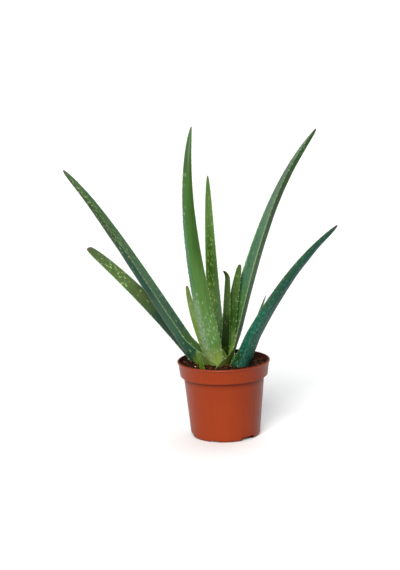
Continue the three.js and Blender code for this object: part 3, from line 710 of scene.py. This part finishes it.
def tooth_tree(horn):
    """Sets small hooked teeth along the margins of a blade, smaller where the leaf is narrow."""
    tree, sizes = geometry_tree("leaf_teeth", TOOTH_SIZES)
    size = sizes.outputs
    named = {}
    for label, kind in (("margin", "BOOLEAN"), ("share", "FLOAT"), ("half", "FLOAT"),
                        ("outwards", "FLOAT_VECTOR"), ("tipwards", "FLOAT_VECTOR")):
        named[label] = add(tree, "GeometryNodeInputNamedAttribute", {"Name": label}, data_type=kind)

    long = add(tree, "ShaderNodeMath", {0: size["Height"], 1: size["Sunk"]}, operation="ADD")
    cone = add(tree, "GeometryNodeMeshCone", {
        "Vertices": 7, "Side Segments": 4, "Radius Top": 0.06 * MM, "Radius Bottom": size["Root Radius"],
        "Depth": long,
    }, fill_type="TRIANGLE_FAN")
    where = add(tree, "GeometryNodeInputPosition")
    rise = add(tree, "ShaderNodeMath", {
        0: add(tree, "ShaderNodeSeparateXYZ", {0: where}).outputs["Z"], 1: long,
    }, operation="DIVIDE")
    hook = add(tree, "ShaderNodeMath", {
        0: add(tree, "ShaderNodeMath", {0: rise, 1: 2.0}, operation="POWER"), 1: size["Hook"],
    }, operation="MULTIPLY")
    marked = add(tree, "GeometryNodeStoreNamedAttribute", {
        "Geometry": cone, "Name": "point", "Value": rise,
    }, data_type="FLOAT", domain="POINT")
    hooked = add(tree, "GeometryNodeSetPosition", {
        "Geometry": marked, "Offset": add(tree, "ShaderNodeCombineXYZ", {"X": hook}),
    })
    flat = add(tree, "ShaderNodeCombineXYZ", {"X": 1.0, "Y": size["Flatness"], "Z": 1.0})
    sunk = add(tree, "ShaderNodeMath", {0: size["Sunk"], 1: -1.0}, operation="MULTIPLY")
    tooth = add(tree, "GeometryNodeTransform", {
        "Geometry": hooked, "Translation": add(tree, "ShaderNodeCombineXYZ", {"Z": sunk}), "Scale": flat,
    })

    lines = add(tree, "GeometryNodeMeshToCurve", {"Mesh": size["Geometry"], "Selection": named["margin"]})
    places = add(tree, "GeometryNodeResampleCurve", {"Curve": lines, "Length": size["Pitch"]}, mode="LENGTH")
    slide = add(tree, "FunctionNodeRandomValue", {
        "Min": -TOOTH_SLIDE, "Max": TOOTH_SLIDE,
        "Seed": add(tree, "FunctionNodeFloatToInt", {0: size["Seed"]}),
    }, data_type="FLOAT")
    step = add(tree, "ShaderNodeMath", {0: slide, 1: size["Pitch"]}, operation="MULTIPLY")
    places = add(tree, "GeometryNodeSetPosition", {
        "Geometry": places,
        "Offset": add(tree, "ShaderNodeVectorMath", {0: named["tipwards"], "Scale": step}, operation="SCALE"),
    })
    after = add(tree, "FunctionNodeCompare", {0: named["share"], 1: size["From Share"]},
                data_type="FLOAT", operation="GREATER_THAN")
    before = add(tree, "FunctionNodeCompare", {0: named["share"], 1: size["To Share"]},
                 data_type="FLOAT", operation="LESS_THAN")
    kept = add(tree, "FunctionNodeBooleanMath", {0: after, 1: before}, operation="AND")
    pointing = add(tree, "ShaderNodeVectorMath", {
        0: named["outwards"],
        1: add(tree, "ShaderNodeVectorMath", {0: named["tipwards"], "Scale": TOOTH_LEAN}, operation="SCALE"),
    }, operation="ADD")
    upright = add(tree, "FunctionNodeAlignRotationToVector", {"Vector": pointing}, axis="Z")
    turned = add(tree, "FunctionNodeAlignRotationToVector", {
        "Rotation": upright, "Vector": named["tipwards"],
    }, axis="X", pivot_axis="Z")
    chance = add(tree, "FunctionNodeRandomValue", {"Min": 0.75, "Max": 1.2, "Seed": 3}, data_type="FLOAT")
    fit = add(tree, "ShaderNodeMapRange", {
        "Value": named["half"], "From Min": 1.0, "From Max": 6.0, "To Min": 0.45, "To Max": 1.0,
    })
    scale = add(tree, "ShaderNodeMath", {0: fit, 1: chance}, operation="MULTIPLY")
    teeth = add(tree, "GeometryNodeInstanceOnPoints", {
        "Points": places, "Selection": kept, "Instance": tooth, "Rotation": turned, "Scale": scale,
    })
    teeth = add(tree, "GeometryNodeStoreNamedAttribute", {
        "Geometry": teeth, "Name": "is_tooth", "Value": True,
    }, data_type="BOOLEAN", domain="INSTANCE")
    both = add(tree, "GeometryNodeJoinGeometry", {0: size["Geometry"]})
    feed(tree, both, {0: teeth})
    real = add(tree, "GeometryNodeRealizeInstances", {0: both})
    finished = add(tree, "GeometryNodeSetMaterial", {
        "Geometry": real, "Material": horn,
        "Selection": add(tree, "GeometryNodeInputNamedAttribute", {"Name": "is_tooth"}, data_type="BOOLEAN"),
    })
    add(tree, "NodeGroupOutput", {0: finished})
    return tree


def make_leaves():
    tree = tooth_tree(aloe_tooth_horn())
    for number, (name, leaf) in enumerate(LEAVES.items()):
        skin = aloe_cuticle(f"aloe_cuticle_{name}", SKINS[name], number)
        piece = piece_of(f"{name}_blade", leaf_blade(name, leaf, number), skin)
        sizes = dict(TOOTH_SIZES, Seed=SEED + number)
        small = min(max(leaf["width"] / FULL_TOOTH_WIDTH, SMALLEST_TOOTH), 1)
        for size in ("Height", "Sunk", "Root Radius", "Hook"):
            sizes[size] *= small
        sizes["Pitch"] *= FIXED_PITCH + (1 - FIXED_PITCH) * small
        grow(piece, tree, sizes)
        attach(piece, "root")
        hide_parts(name)


# ---- pot ----

POT_SIDES = 180
RIM_SHADE_DEPTH, RIM_SHADE = 0.5, 0.65  # mm down from the rim, and how much painted shade lies there
INNER_FROM = 0.7  # share of the wall's thickness, from its outside in
PAST = 10  # mm that a cutting box runs past what it cuts


def arc(centre, radii, first, last, steps):
    turns = [radians(first + (last - first) * i / steps) for i in range(steps + 1)]
    return [(centre[0] + radii[0] * cos(turn), centre[1] + radii[1] * sin(turn)) for turn in turns]


def pot_outside():
    foot, lip, bead = POT["foot_radius"], POT["lip_radius"], POT["lip_bead"]
    edge, collar, ledge = POT["collar_edge"], POT["collar_bottom"], POT["ledge_height"]
    return [
        (0, 0),
        *arc((foot, POT["foot_height"]), (POT["body_bottom"] - foot, POT["foot_height"]), -90, 0, 8),
        (POT["body_top"], COLLAR_FOOT - ledge),
        (POT["body_top"] + 0.3, COLLAR_FOOT - ledge * 0.6),
        *arc((collar - edge, COLLAR_FOOT + edge), (edge, edge), -90, 0, 6),
        (POT["collar_top"], POT["height"] - POT["lip_band"]),
        *arc((lip - bead, POT["height"] - bead), (bead, bead), -60, 90, 9),
        (0, POT["height"]),
    ]


def pot_inside():
    wall, floor, corner = POT["wall"], POT["floor"], POT["inner_corner"]
    rise = 6
    rim = POT["collar_top"] - wall + COLLAR_SLOPE * (POT["lip_band"] + rise)
    return [
        (0, floor),
        (POT["body_bottom"] - wall - corner, floor),
        *arc((POT["body_bottom"] - wall - corner, floor + corner), (corner, corner), -60, 0, 4),
        (POT["body_top"] - wall, COLLAR_FOOT - POT["ledge_height"] + wall),
        (POT["collar_bottom"] - wall, COLLAR_FOOT + POT["collar_edge"] + wall),
        (rim, POT["height"] + rise),
        (0, POT["height"] + rise),
    ]


def radius_at(height, profile):
    return np.interp(height, [p[1] for p in profile], [p[0] for p in profile])


def turned_mesh(name, profile, sides):
    """A profile of (radius, height) turned round +Z, from pole to pole."""
    inner = [p for p in profile if p[0] > 0]
    corners = [Vector((0, 0, profile[0][1])), Vector((0, 0, profile[-1][1]))]
    for radius, height in inner:
        corners += [Vector((radius * cos(a), radius * sin(a), height))
                    for a in (2 * pi * i / sides for i in range(sides))]
    faces = []
    last = 2 + (len(inner) - 1) * sides
    for i in range(sides):
        k = (i + 1) % sides
        faces.append((0, 2 + k, 2 + i))
        faces.append((1, last + i, last + k))
        for ring in range(len(inner) - 1):
            low, high = 2 + ring * sides, 2 + (ring + 1) * sides
            faces.append((low + i, low + k, high + k, high + i))
    mesh = bpy.data.meshes.new(name)
    mesh.from_pydata([c * MM for c in corners], [], faces)
    return mesh


def boxes_mesh(name, boxes):
    """Boxes that each run outwards along a heading: (angle, inner, outer, width, bottom, top)."""
    shape = bmesh.new()
    for angle, inner, outer, width, bottom, top in boxes:
        size = Matrix.Diagonal(((outer - inner) * MM, width * MM, (top - bottom) * MM, 1))
        place = Matrix.Translation(Vector(((inner + outer) / 2, 0, (bottom + top) / 2)) * MM)
        bmesh.ops.create_cube(shape, size=1, matrix=Matrix.Rotation(radians(angle), 4, "Z") @ place @ size)
    mesh = bpy.data.meshes.new(name)
    shape.to_mesh(mesh)
    shape.free()
    return mesh


def cut(piece, tool):
    modifier = piece.modifiers.new("cut", "BOOLEAN")
    modifier.operation = "DIFFERENCE"
    modifier.solver = "EXACT"
    modifier.object = tool
    keep_shape(piece)
    bpy.data.objects.remove(tool)


def make_pot():
    outer = POT["body_bottom"] + PAST
    step = 360 / DRAIN["count"]
    slots = [DRAIN["first_angle"] + step * i for i in range(DRAIN["count"])]
    recesses = [angle + step / 2 for angle in slots]
    wall = POT["wall"]

    def recess_boxes(cover):
        return [(angle, DRAIN["recess_inner"] - cover, outer, DRAIN["recess_width"] + 2 * cover, -PAST,
                 DRAIN["recess_height"] + cover) for angle in recesses]

    slot_boxes = [(angle, DRAIN["slot_inner"], outer, DRAIN["slot_width"], -PAST, DRAIN["slot_height"])
                  for angle in slots]
    cavity = piece_of("pot_cavity", turned_mesh("pot_cavity", pot_inside(), POT_SIDES))
    cut(cavity, piece_of("recess_covers", boxes_mesh("recess_covers", recess_boxes(wall))))
    pot = piece_of("nursery_pot", turned_mesh("nursery_pot", pot_outside(), POT_SIDES))
    cut(pot, piece_of("drain_cuts", boxes_mesh("drain_cuts", slot_boxes)))
    cut(pot, piece_of("recess_cuts", boxes_mesh("recess_cuts", recess_boxes(0))))
    cut(pot, cavity)
    outline = pot_outside()[1:-1]
    # Faces inside the wall get full painted shade, and the rim's top a share of it.
    inside = pot.data.attributes.new("inside", "FLOAT", "FACE")
    for face, mark in zip(pot.data.polygons, inside.data):
        x, y, height = face.center / MM
        is_inner = hypot(x, y) < radius_at(height, outline) - wall * INNER_FROM
        mark.value = float(is_inner and wall < height)
        if height > POT["height"] - RIM_SHADE_DEPTH:
            mark.value = RIM_SHADE
    pot.data.shade_smooth()
    pot.data.set_sharp_from_angle(angle=radians(38))
    pot.data.materials.append(moulded_polypropylene())
    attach(pot, "root")
    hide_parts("pot")


# ---- soil ----

BED_SIDES, BED_RINGS = 168, 52
BED_FOOT, BED_CORNER = 2.2, 5  # mm over the solid's foot, clear of the covers of the recesses
BED_SUNK = 0.4  # mm that the bed lies under the solid's surface, for the crumbs on it
BED_LUMPS = (0.9, 9), (0.7, 3.4), (0.35, 1.5)  # mm high, mm wide
BARE_EDGE = 1  # mm along the wall where no crumb is centred
BED_CRUMB = 0.35  # the bed's own place between the darkest and the palest crumb


def soil_level(x, y):
    share = min(hypot(x, y) / POT["collar_bottom"], 1)
    level = SOIL["centre"] - (SOIL["centre"] - SOIL["edge"]) * share ** 2
    lumps = sum(high * wander(x / wide, y / wide, kind) for kind, (high, wide) in enumerate(BED_LUMPS, 1))
    return level + lumps - BED_SUNK


def make_soil():
    gap, wall, top = SOIL["gap"], POT["wall"], SOIL["edge"]
    rim = POT["collar_top"] - wall - gap - COLLAR_SLOPE * (POT["height"] - POT["lip_band"] - top)
    inset, floor = wall + gap, POT["floor"] + gap
    wall_line = [
        (0, floor + BED_FOOT),
        (POT["body_bottom"] - inset - POT["inner_corner"], floor + BED_FOOT),
        (POT["body_bottom"] - inset, floor + BED_CORNER),
        (POT["body_top"] - inset, COLLAR_FOOT - POT["ledge_height"] + wall),
        (POT["collar_bottom"] - inset, COLLAR_FOOT + POT["collar_edge"] + wall),
        (rim, top),
    ]
    surface = [(rim * (1 - (i + 1) / BED_RINGS), top) for i in range(BED_RINGS)]
    mesh = turned_mesh("potting_peat", wall_line + surface, BED_SIDES)
    bed = piece_of("potting_peat", mesh, peat_mix("damp_peat", "#0c0502", "#1d0d05", "#452410"))
    kept = {label: mesh.attributes.new(label, "FLOAT", "POINT").data for label in ("is_top", "pale", "crumb")}
    for number, corner in enumerate(mesh.vertices):
        x, y, z = corner.co / MM
        is_top = z > top - FINEST
        if is_top:
            corner.co.z = soil_level(x, y) * MM
        kept["is_top"][number].value = float(is_top and hypot(x, y) < rim - BARE_EDGE)
        near = hypot(x - PALE_PATCH["x"], y - PALE_PATCH["y"]) < PALE_PATCH["radius"]
        kept["pale"][number].value = kept["is_top"][number].value * (1.0 if near else PALE_PATCH["elsewhere"])
        kept["crumb"][number].value = BED_CRUMB
    return bed


BUMP_WIDTH = 0.9  # mm between the bumps on a crumb
GRADING = 2.2  # the higher, the more of the litter is small


def litter_tree(kinds):
    """Scatters each kind of crumb, sliver and grain over the soil's surface."""
    names = [f"{kind} {word}" for kind in kinds for word in ("Density", "Smallest", "Largest")]
    tree, group = geometry_tree("peat_litter", names)
    size = group.outputs
    both = add(tree, "GeometryNodeJoinGeometry", {0: size["Geometry"]})
    finish = []
    for number, (kind, (lies, proportions, ragged, tint, material)) in enumerate(kinds.items()):
        there = add(tree, "GeometryNodeInputNamedAttribute", {"Name": lies}, data_type="FLOAT")
        spread = add(tree, "ShaderNodeMath", {0: size[f"{kind} Density"], 1: there}, operation="MULTIPLY")
        points = add(tree, "GeometryNodeDistributePointsOnFaces", {
            "Mesh": size["Geometry"], "Density": spread, "Seed": SEED + number,
        }, distribute_method="RANDOM")
        ball = add(tree, "GeometryNodeMeshUVSphere", {"Segments": 7, "Rings": 5, "Radius": 1 * MM})
        where = add(tree, "GeometryNodeInputPosition")
        rough = add(tree, "ShaderNodeTexNoise", {
            "Vector": where, "Scale": 1 / (BUMP_WIDTH * MM), "Detail": 1.0,
        })
        push = add(tree, "ShaderNodeMath", {0: rough, 1: 2 * ragged, 2: 1 - ragged}, operation="MULTIPLY_ADD")
        lump = add(tree, "GeometryNodeSetPosition", {
            "Geometry": ball,
            "Position": add(tree, "ShaderNodeVectorMath", {0: where, "Scale": push}, operation="SCALE"),
        })
        lump = add(tree, "GeometryNodeTransform", {"Geometry": lump, "Scale": proportions})
        turn = add(tree, "FunctionNodeRandomValue", {
            "Min": (-0.5, -0.5, 0.0), "Max": (0.5, 0.5, 2 * pi), "Seed": 20 + number,
        }, data_type="FLOAT_VECTOR")
        grade = add(tree, "FunctionNodeRandomValue", {"Min": 0.0, "Max": 1.0, "Seed": 30 + number},
                    data_type="FLOAT")
        grade = add(tree, "ShaderNodeMath", {0: grade, 1: GRADING}, operation="POWER")
        scale = add(tree, "ShaderNodeMapRange", {
            "Value": grade, "To Min": size[f"{kind} Smallest"], "To Max": size[f"{kind} Largest"],
        })
        lumps = add(tree, "GeometryNodeInstanceOnPoints", {
            "Points": points.outputs["Points"], "Instance": lump,
            "Rotation": add(tree, "FunctionNodeEulerToRotation", {0: turn}), "Scale": scale,
        })
        shade = add(tree, "FunctionNodeRandomValue", {"Min": tint[0], "Max": tint[1], "Seed": 40 + number},
                    data_type="FLOAT")
        lumps = add(tree, "GeometryNodeStoreNamedAttribute", {
            "Geometry": lumps, "Name": "crumb", "Value": shade,
        }, data_type="FLOAT", domain="INSTANCE")
        lumps = add(tree, "GeometryNodeStoreNamedAttribute", {
            "Geometry": lumps, "Name": f"is_{kind}", "Value": True,
        }, data_type="BOOLEAN", domain="INSTANCE")
        feed(tree, both, {0: lumps})
        finish.append((f"is_{kind}", material))
    result = add(tree, "GeometryNodeRealizeInstances", {0: both})
    for label, material in finish:
        result = add(tree, "GeometryNodeSetMaterial", {
            "Geometry": result, "Material": material,
            "Selection": add(tree, "GeometryNodeInputNamedAttribute", {"Name": label}, data_type="BOOLEAN"),
        })
    add(tree, "NodeGroupOutput", {0: result})
    return tree


WALL_CLEAR = 0.1  # mm between the outermost crumbs and the pot's wall


def press_to_wall(bed):
    """Moves the litter at the edge in until it lies against the inside of the pot's wall."""
    corners = bed.data.vertices
    points = np.empty(3 * len(corners), np.float32)
    corners.foreach_get("co", points)
    points = points.reshape(-1, 3)
    most = (radius_at(points[:, 2] / MM, pot_inside()[1:-1]) - WALL_CLEAR) * MM
    radius = np.hypot(points[:, 0], points[:, 1])
    outside = radius > most
    points[outside, :2] *= (most[outside] / radius[outside])[:, None]
    corners.foreach_set("co", points.ravel())
    bed.data.update()


def dress_soil():
    bed = make_soil()
    crumb = peat_mix("peat_crumb", "#100602", "#2c1508", "#753d16")
    bark = peat_mix("bark_sliver", "#241004", "#5c3010", "#a8682c")
    grain = peat_mix("expanded_perlite", "#8f8676", "#c9c0ae", "#efe9dc")
    # where it lies, proportions, how ragged, range of tint, material
    kinds = {
        "crumb": ("is_top", (1.0, 0.85, 0.7), 0.45, (0.0, 0.85), crumb),
        "sliver": ("is_top", (2.6, 0.5, 0.35), 0.3, (0.2, 1.0), bark),
        "grain": ("pale", (1.3, 0.8, 0.7), 0.3, (0.3, 1.0), grain),
    }
    sizes = {
        "crumb Density": 250000, "crumb Smallest": 0.6, "crumb Largest": 2.2,
        "sliver Density": 32000, "sliver Smallest": 0.5, "sliver Largest": 1.7,
        "grain Density": 60000, "grain Smallest": 0.4, "grain Largest": 1.3,
    }
    grow(bed, litter_tree(kinds), sizes)
    press_to_wall(bed)
    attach(bed, "root")
    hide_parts("soil")


# ---- studio ----


COVE = {"floor": 5500, "bend": 1200, "top": 2100, "thick": 100}
# azimuth from the front, elevation, strength, how broad, colour
LIGHTS = {
    "key": (-15, 30, 4.7, 36, "#fffdfa"),
    "back": (165, 62, 1.3, 60, "#f8fbff"),
}


def make_studio():
    """A white cove: a flat floor that curves up into a low wall all round, lit by broad soft lights. It shows
    in gloss but throws no light back on the plant, so pot and leaves keep darker sides."""
    floor, bend, top, thick = COVE["floor"], COVE["bend"], COVE["top"], COVE["thick"]
    wall = floor + bend
    profile = [(0, 0), (floor, 0), *arc((floor, bend), (bend, bend), -90, 0, 16)[1:], (wall, top),
               (wall + thick, top), (wall + thick, -thick), (0, -thick)]
    mesh = turned_mesh("studio_cove", profile[::-1], 96)
    mesh.shade_smooth()
    mesh.set_sharp_from_angle(angle=radians(30))
    cove = piece_of("studio_cove", mesh, studio_floor())
    cove.visible_diffuse = False
    scene = bpy.context.scene
    scene.view_settings.view_transform = "Standard"
    world = bpy.data.worlds.new("studio")
    world.use_nodes = True
    surround = world.node_tree.nodes["Background"]
    surround.inputs["Color"].default_value = linear("#fdfeff")
    surround.inputs["Strength"].default_value = 0.25
    scene.world = world
    for name, (azimuth, elevation, power, breadth, colour) in LIGHTS.items():
        data = bpy.data.lights.new(name, "SUN")
        data.energy, data.angle = power, radians(breadth)
        data.color = linear(colour)[:3]
        lamp = bpy.data.objects.new(name, data)
        turn, rise = radians(azimuth), radians(elevation)
        source = Vector((sin(turn) * cos(rise), -cos(turn) * cos(rise), sin(rise)))
        lamp.rotation_euler = source.to_track_quat("Z", "Y").to_euler()
        lamp.location = source * 2
        scene.collection.objects.link(lamp)


def dress_stems():
    bark = aloe_stem_bark()
    for name in ("stem", "offset_stem"):
        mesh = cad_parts[name].data
        mesh.materials.clear()
        mesh.materials.append(bark)


make_leaves()
make_pot()
dress_soil()
dress_stems()
make_studio()
